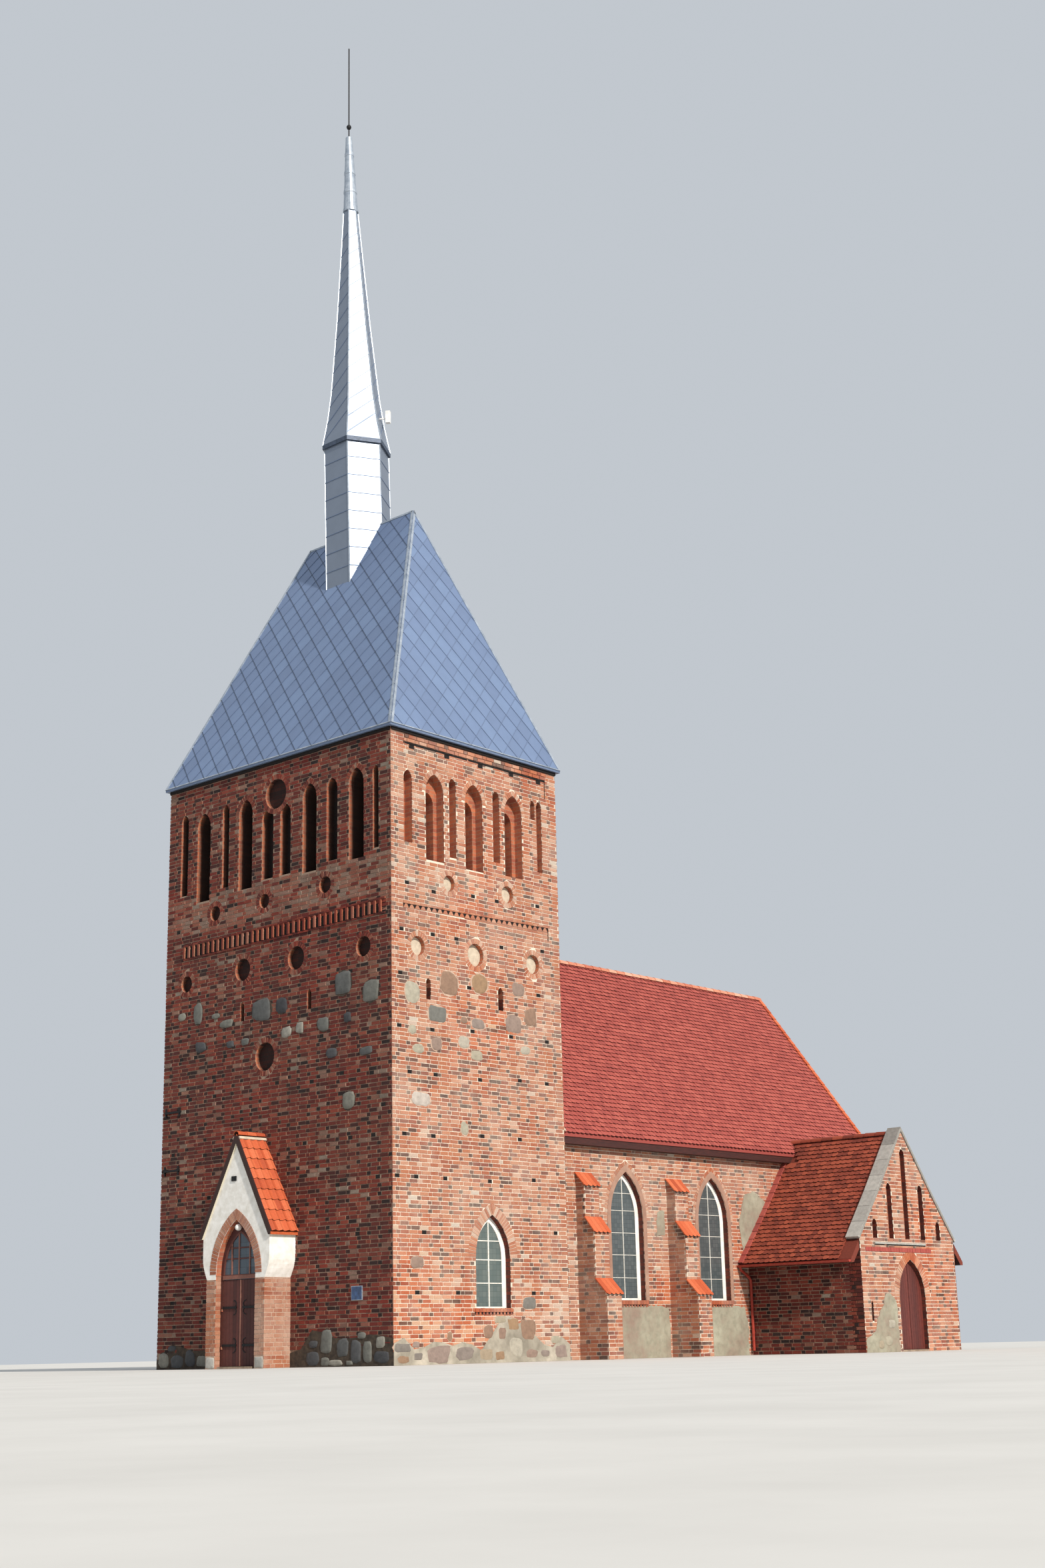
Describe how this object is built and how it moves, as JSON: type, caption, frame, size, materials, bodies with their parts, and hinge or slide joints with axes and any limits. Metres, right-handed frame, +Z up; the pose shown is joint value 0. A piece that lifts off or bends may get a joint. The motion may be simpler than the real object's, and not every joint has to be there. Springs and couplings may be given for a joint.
{
  "type": "village church building",
  "caption": "Brick village church: west tower with hipped metal roof and hexagonal spire, gabled porch, tiled nave with buttresses, and a gabled side chapel.",
  "frame": {"origin": "centre of the tower's footprint, on the ground", "axes": "+Z up, +X to the south side with the chapel, +Y east along the nave"},
  "size_m": [12.8, 22.59, 39.31],
  "materials": {
    "brick_sunlit": "old large-format brick in pale lime mortar, rough",
    "brick_shaded": "old dark red brick in lime mortar, rough, weathered",
    "lime_plaster": "white lime plaster over brick piers",
    "sheet_metal": "grey sheet metal with raised seams, semi-gloss",
    "dark_iron": "dark iron",
    "red_tile": "red clay plain tiles, matt",
    "orange_tile": "orange clay pantiles, matt",
    "old_wood": "dark red-brown stained boards",
    "door_red": "faded red-brown painted boards",
    "window_glass": "small leaded panes in iron bars",
    "coping_stone": "pale grey cement slabs",
    "floor_brick": "worn brick paving",
    "red_paint": "red painted gutter and pipe",
    "white_cover": "white weatherproof cover"
  },
  "bodies": {
    "building": {"tower_wall_west": "brick_shaded", "tower_wall_east": "brick_shaded", "tower_wall_south": "brick_sunlit", "tower_wall_north": "brick_shaded", "tower_floor": "floor_brick", "tower_roof": "sheet_metal", "tower_window_south": "window_glass", "tower_window_north": "window_glass", "spire_shaft": "sheet_metal", "spire_roof": "sheet_metal", "spire_cap": "sheet_metal", "spire_finial": "dark_iron", "mast_box": "white_cover", "wall_plaque": "old_wood", "porch_wall_front": "lime_plaster", "porch_wall_south": "lime_plaster", "porch_wall_north": "lime_plaster", "porch_roof_south": "orange_tile", "porch_roof_north": "orange_tile", "porch_floor": "floor_brick", "porch_fanlight": "window_glass", "porch_lamp": "white_cover", "nave_wall_south": "brick_sunlit", "nave_wall_north": "brick_shaded", "nave_wall_east": "brick_shaded", "nave_floor": "floor_brick", "nave_roof_south": "red_tile", "nave_roof_north": "red_tile", "nave_eaves_north": "old_wood", "nave_eaves_south_west": "old_wood", "nave_eaves_south_east": "old_wood", "nave_window_south_1": "window_glass", "nave_window_south_2": "window_glass", "nave_window_north_1": "window_glass", "nave_window_north_2": "window_glass", "nave_window_north_3": "window_glass", "nave_window_east": "window_glass", "chapel_wall_west": "brick_shaded", "chapel_wall_east": "brick_shaded", "chapel_gable": "brick_sunlit", "chapel_coping": "coping_stone", "chapel_roof_west": "orange_tile", "chapel_roof_east": "orange_tile", "chapel_floor": "floor_brick", "chapel_gutter": "red_paint"},
    "porch_south_leaf": {"porch_door_south": "old_wood"},
    "porch_north_leaf": {"porch_door_north": "old_wood"},
    "chapel_west_leaf": {"chapel_door_west": "door_red"},
    "chapel_east_leaf": {"chapel_door_east": "door_red"}
  },
  "joints": [
    {"name": "porch_door_south_hinge", "type": "hinge", "parent": "building", "child": "porch_south_leaf", "pos_m": [0.35, -3.84, 1], "axis": [0, 0, 1], "range_deg": [0, 100]},
    {"name": "porch_door_north_hinge", "type": "hinge", "parent": "building", "child": "porch_north_leaf", "pos_m": [-0.95, -3.84, 1], "axis": [0, 0, -1], "range_deg": [0, 100]},
    {"name": "chapel_door_west_hinge", "type": "hinge", "parent": "building", "child": "chapel_west_leaf", "pos_m": [7.59, 13.435, 1], "axis": [0, 0, 1], "range_deg": [0, 95]},
    {"name": "chapel_door_east_hinge", "type": "hinge", "parent": "building", "child": "chapel_east_leaf", "pos_m": [7.59, 14.885, 1], "axis": [0, 0, -1], "range_deg": [0, 95]}
  ]
}
